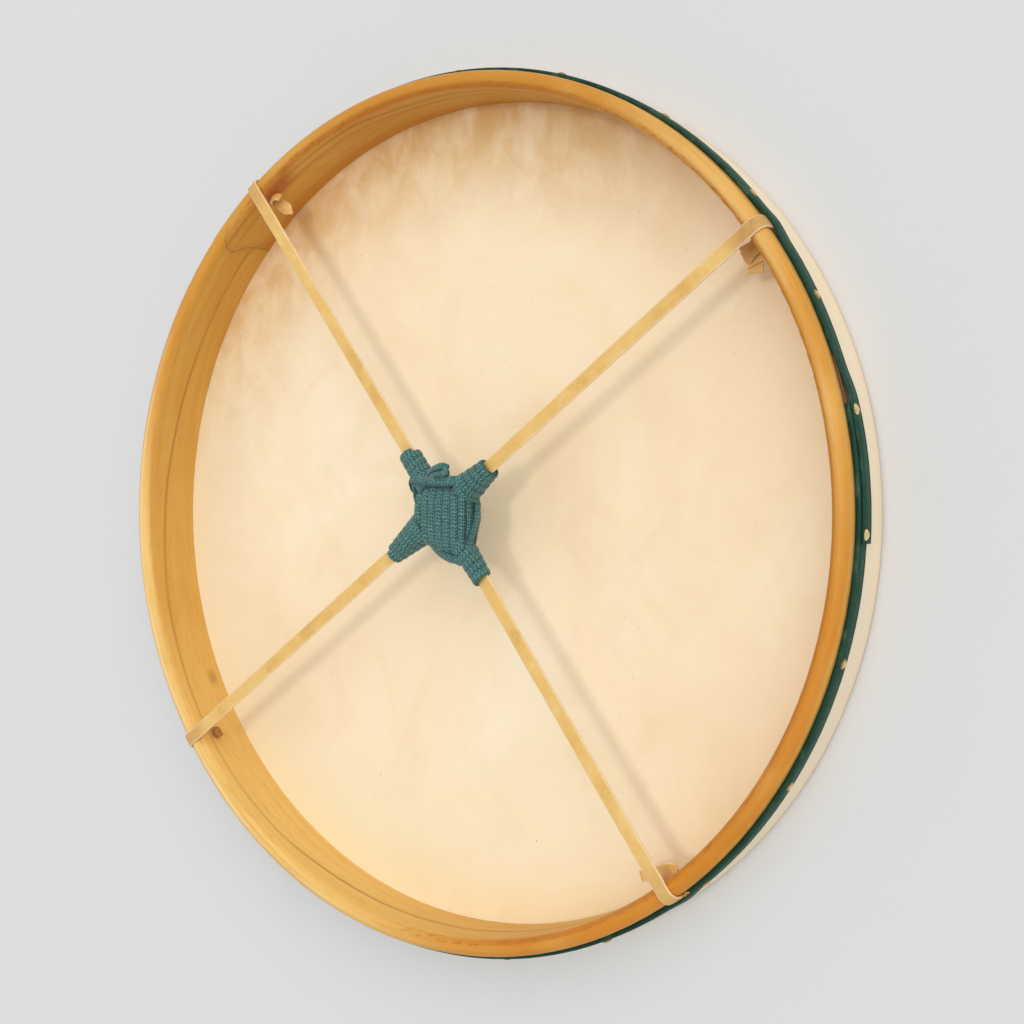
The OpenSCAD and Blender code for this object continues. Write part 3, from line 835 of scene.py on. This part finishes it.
def lace_falling(material):
    """The upper-left to lower-right lace: a pointed curl at one end, a flat stop and scraps at the other."""
    pieces = [
        # The first value paints shade on the upper left end over the rim; the second is wear.
        lace("lace_falling", 1, 3, FALLING_DROP, material, 16, (0.6, 0.45)),
        fold("stop_e", 1,
             [(-1, 1.2, 0.5), (0.2, 0.6, 3.4), (1.2, -2.0, 4.9), (2.9, -4.8, 5.2), (4.8, -6.4, 4.6)],
             [(1, 0.6, 0), (1, 0.5, 0.2), (0.9, 0.4, 0.5), (0.6, 0.6, 0.6), (0.4, 0.7, 0.6)],
             material, 17, 4.6 * MM, 1.5 * MM, (0.45, 0.1, 0.0, 0.1)),
        fold("stop_f", 1, [(1.2, 0.6, 1.2), (4, -1.0, -0.6), (7.5, -2.0, -2), (12.8, -3.5, -3)],
             [(0.3, 1, 0.2), (0.3, 1, 0.2), (0.2, 1, 0.2), (0.1, 1, 0.2)],
             material, 18, 7.0 * MM, 1.1 * MM, (0.6, 0.1, 0.0, 0.0), (0.55, 0.95, 1.0, 0.12)),
        fold("stop_g", 3,
             [(3.6, 4.7, 0), (4.4, 0.5, 0), (5.8, -5, -0.3), (8.2, -11, -0.8), (9.9, -15.8, -1)],
             [(1, 0.2, 0), (1, 0.2, 0), (1, 0.3, 0), (0.9, 0.45, 0), (0.85, 0.55, 0)],
             material, 19, 7.2 * MM, taper=(0.68, 1.0, 0.95, 0.75)),
        fold("stop_h", 3, [(-2.2, -2.8, 1.4), (1.5, 0, 1.5), (5.1, 2.9, 1.4)],
             [(-0.61, 0.79, 0), (-0.61, 0.79, 0), (-0.61, 0.79, 0)], material, 20, 7.2 * MM,
             brown=(0.7, 0.4, 0.25)),
        fold("scrap_a", 3, [(-8.8, 1.6, 6.0), (-9.5, 3.4, 7.4), (-10.2, 5.0, 8.0), (-10.0, 6.4, 7.4)],
             [(0.3, 0, 1), (0.5, 0, 1), (1, 0, 0.6), (1, 0, 0.2)], material, 21, 1.8 * MM, 0.8 * MM,
             (1.0, 1.0, 0.8), (0.6, 1.0, 0.9, 0.3)),
        fold("scrap_b", 3, [(-8.8, 4.4, 6.4), (-9.7, 6.0, 7.6), (-10.4, 7.6, 7.2)],
             [(0.6, 0, 1), (1, 0, 0.8), (1, 0, 0.3)], material, 22, 1.5 * MM, 0.7 * MM,
             (1.0, 0.9, 0.5), (0.7, 1.0, 0.3)),
    ]
    piece = join_pieces(pieces, "lace_falling")
    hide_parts("lace_falling")


# ---- Grip: one knitted cord, wound round the crossing ----

def waver(n, seed):
    """Unevenness along n rings, between about -1 and 1, that closes on itself."""
    t = 2 * np.pi * np.arange(n) / n
    return 0.5 * np.sin(2 * t + seed) + 0.3 * np.sin(5 * t + 2.1 * seed) + 0.3 * np.sin(11 * t + 3.7 * seed)


def knit_cord(name, route, outs, material, seed, width=CORD_W, height=CORD_H, closed=False):
    """A knitted cord along route, pressed flat against what it is wound on, with its stitches in relief."""
    steps, wales, per_wale = 4, 6, 7
    depth = 0.42 * MM
    fuzz = 0.05 * MM
    line = np.hstack([np.asarray(route, float), np.asarray(outs, float)])
    if closed:
        line = even_line(np.vstack([line, line[:1]]), STITCH / steps)[:-1]
        tangents = unit(np.roll(line[:, :3], -1, axis=0) - np.roll(line[:, :3], 1, axis=0))
    else:
        line = even_line(line, STITCH / steps)
        tangents = unit(np.gradient(line[:, :3], axis=0))
    centres, outs = line[:, :3], line[:, 3:]
    outs = unit(outs - tangents * np.sum(outs * tangents, axis=1, keepdims=True))
    sides = np.cross(tangents, outs)

    n, n_side = len(centres), wales * per_wale
    stitches = np.arange(n) / n * round(n / steps) + 0.35 * waver(n, seed)
    t = np.radians(np.arange(n_side) * 360.0 / n_side)[None, :]
    wale = (np.arange(n_side) / per_wale + 0.5) % 1.0
    spread = np.abs(2 * wale - 1)[None, :]
    loop = 0.5 - 0.5 * np.cos(2 * np.pi * (stitches[:, None] + 0.6 * spread))
    leg = 1 - (2 * np.abs(spread - 0.5)) ** 2
    rough = np.random.default_rng(seed).normal(0.0, 1.0, (n, n_side))
    relief = (0.3 + 0.7 * loop) * (0.3 + 0.7 * leg) + 0.10 * rough
    swell = 1 + 0.05 * waver(n, seed + 5)[:, None]
    if not closed:
        from_end = np.minimum(np.arange(n), np.arange(n)[::-1])[:, None] * STITCH / steps
        swell = swell * np.sqrt(np.clip(1 - (1 - from_end / (1.4 * MM)).clip(0, 1) ** 2, 0.05, 1))
    sink = depth * (1 - relief) - fuzz * rough
    x = np.sign(np.cos(t)) * np.abs(np.cos(t)) ** 0.8 * (width / 2 * swell - sink)
    y = np.sign(np.sin(t)) * np.abs(np.sin(t)) ** 0.8 * (height / 2 * swell - sink)
    rings = centres[:, None, :] + sides[:, None, :] * x[:, :, None] + outs[:, None, :] * y[:, :, None]
    # Painted shade for the colour: darker in the gaps between stitches and towards the cord's flanks.
    shade = relief * (1 - 0.6 * np.abs(np.cos(t)) ** 6)
    return new_piece(name, rings, material, closed_path=closed, attributes={"relief": shade})


def block_turn(x_mid, half_y, half_z, y_mid, lean):
    """One turn round the crossing, as points and outward normals, in the plane across X."""
    squareness = 3.2
    t = np.radians(np.arange(0, 360, 4.0))
    y = half_y * np.sign(np.cos(t)) * np.abs(np.cos(t)) ** (2 / squareness)
    z = half_z * np.sign(np.sin(t)) * np.abs(np.sin(t)) ** (2 / squareness)
    bow = 0.08 * x_mid * (1 - (y / half_y) ** 2)
    points = np.stack([x_mid + bow + lean * y, y + y_mid, z], axis=1) + np.array(GRIP_MID)
    ny = np.sign(y) * np.abs(y / half_y) ** (squareness - 1) / half_y
    nz = np.sign(z) * np.abs(z / half_z) ** (squareness - 1) / half_z
    return points, np.stack([np.zeros_like(ny), ny, nz], axis=1)


# The turns round the crossing: across, half length, half height, offset up the drum (mm) and lean
BLOCK_TURNS = [(-11.9, 11.2, 5.9, 0.8, 0.02), (-7.4, 14.4, 6.3, -0.2, 0.01), (-2.9, 16.0, 6.8, -1.2, 0.0),
               (1.5, 16.6, 6.9, -2.0, 0.0), (5.9, 17.0, 6.7, -2.4, 0.0), (10.1, 17.2, 6.2, -2.6, 0.01),
               (13.6, 16.6, 5.1, -2.4, 0.02), (15.4, 15.0, 2.4, -2.2, 0.03)]
# Stretches laid over the block or beside it: points from the grip's middle, width, height, all in mm,
# and how strongly the cord faces up instead of outwards
STRETCHES = {
    "over_top": ([(-23, 13, -3), (-20.5, 18, 2), (-15, 18.6, 5.2), (-7, 17.6, 6.6), (1, 17.1, 7.2),
                  (8, 17.0, 7.0), (15, 17.8, 5.2), (19, 19.5, 1)], 5.4, 3.2, 26),
    "left_side": ([(-17.5, 21.5, 0), (-18.0, 16, 2.2), (-17.0, 9, 2.4), (-15.4, 2, 0.8),
                   (-13, -5, -3)], 5.0, 3.2, 10),
    "right_side": ([(15.9, 10.7, -4.6), (18.1, 5.7, -3.2), (18.6, -0.3, -2.0), (18.6, -6.3, 0.6),
                    (17.9, -12.3, 2.6), (16.2, -17.3, 3.0), (13.9, -20.3, 1.0)], 5.0, 3.2, 0),
    "right_foot": ([(15, 4, -7), (16.7, 0.7, -5.9), (17.1, -4.3, -4.6), (17.1, -9.3, -2.8),
                    (16.4, -14.3, -1.0), (14.9, -18.3, 0)], 4.2, 3.0, 0),
    "under_bottom": ([(-12, -8, -5), (-8.5, -13.0, 0.4), (-4, -17.0, 2.4), (2, -20.4, 3.4), (8, -22.3, 3.6),
                      (14, -22.6, 3.2), (20, -20.0, 1.6)], 5.6, 3.6, 30),
    "low_bottom": ([(-3, -16, -2), (2, -20.5, 0.4), (9, -23.6, 1.2), (15, -24.2, 1.2),
                    (21, -21.0, 0)], 5.2, 3.4, 16),
}
# The cord's end, doubled back, in the same form
TAIL = {
    "tail_upper": ([(-9, 20.5, 2), (-5, 22.6, 5.0), (-0.5, 24.2, 6.6), (3.8, 25.0, 6.8),
                    (7.2, 23.6, 6.6)], 4.6, 3.0, 30),
    "tail_lower": ([(-8, 18.5, 3), (-4, 20.0, 5.6), (0.5, 20.8, 7.2), (5.0, 21.0, 7.8),
                    (8.6, 22.6, 7.6)], 4.6, 3.0, 30),
    "tail_under": ([(-12, 17, 3), (-5, 18.4, 6.0), (3.0, 18.6, 7.2), (10.0, 18.4, 7.0),
                    (15.0, 18.6, 5.0)], 3.8, 2.6, 30),
}


def laid_cord(name, points, width, height, upward, material, seed):
    """A stretch of cord laid over the grip through points, which are millimetres from its middle."""
    line = smooth_line([list(GRIP_MID + Vector(p) * MM) for p in points], 1.0 * MM)
    outs = line - np.array(GRIP_MID)
    outs[:, 2] = np.maximum(outs[:, 2], 0) + upward * MM
    return knit_cord(name, line, outs, material, seed, width * MM, height * MM)


def grip_centre(material):
    """The upright turns round the crossing and the stretches laid over and beside them."""
    pieces = []
    for i, (x_mid, half_y, half_z, y_mid, lean) in enumerate(BLOCK_TURNS):
        points, outs = block_turn(x_mid * MM, half_y * MM, half_z * MM, y_mid * MM, lean)
        pieces.append(knit_cord(f"turn_{i}", points, outs, material, 40 + i, closed=True))
    for i, (name, (points, width, height, upward)) in enumerate(STRETCHES.items()):
        pieces.append(laid_cord(name, points, width, height, upward, material, 60 + i))
    piece = join_pieces(pieces, "grip_centre")
    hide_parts("grip_centre")


# Each wound arm: its lace end, where the winding starts and stops, and its radius at both, all in mm
ARMS = [("grip_arm_upper_right", 0, 19, 38, 8.4, 6.2), ("grip_arm_upper_left", 1, 16, 38, 6.5, 6.1),
        ("grip_arm_lower_left", 2, 15, 41, 8.8, 5.5), ("grip_arm_lower_right", 3, 21, 44.5, 6.7, 5.6)]


def grip_arm(name, i, start, reach, base_r, end_r, material):
    """The cord wound along lace end i from start to reach, measured from the crossing."""
    width, height, pitch = 5.1 * MM, 2.8 * MM, 4.4 * MM
    direction = (RIM[i] - CROSS).normalized()
    across = Vector((-direction.y, direction.x, 0))
    lift = Vector((0, 0, 1))
    mid_z = TOP_Z - 1.3 * MM
    last = reach - width / 2
    turns = 1 + (last - start) / pitch
    t = np.linspace(0, turns, int(turns * 40))
    at = start + (last - start) * np.clip((t - 0.5) / (turns - 1.0), 0, 1)
    r = base_r + (end_r - base_r) * (at - start) / (last - start) - height / 2
    route, outs = [], []
    for k in range(len(t)):
        out = across * math.cos(2 * math.pi * t[k]) + lift * math.sin(2 * math.pi * t[k])
        route.append(list(CROSS + direction * at[k] + Vector((0, 0, mid_z)) + out * r[k]))
        outs.append(list(out))
    piece = knit_cord(name, route, outs, material, 80 + i, width, height)
    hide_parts(name)


def grip_tail(material):
    """The cord's end, doubled back and tucked in beside the upper left arm."""
    pieces = []
    for i, (name, (points, width, height, upward)) in enumerate(TAIL.items()):
        pieces.append(laid_cord(name, points, width, height, upward, material, 90 + i))
    piece = join_pieces(pieces, "grip_tail")
    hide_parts("grip_tail")


# ---- The whole drum ----

camera()
studio()
dress_cad_node("hoop", hoop_wood())
dress_cad_node("brass_tacks", tack_brass())
drumhead(stretched_skin())
trim_band(band_leather())
hide = rawhide()
lace_rising(hide)
lace_falling(hide)
yarn = grip_yarn()
grip_centre(yarn)
for arm_name, lace_end, *sizes in ARMS:
    grip_arm(arm_name, lace_end, *(size * MM for size in sizes), yarn)
grip_tail(yarn)
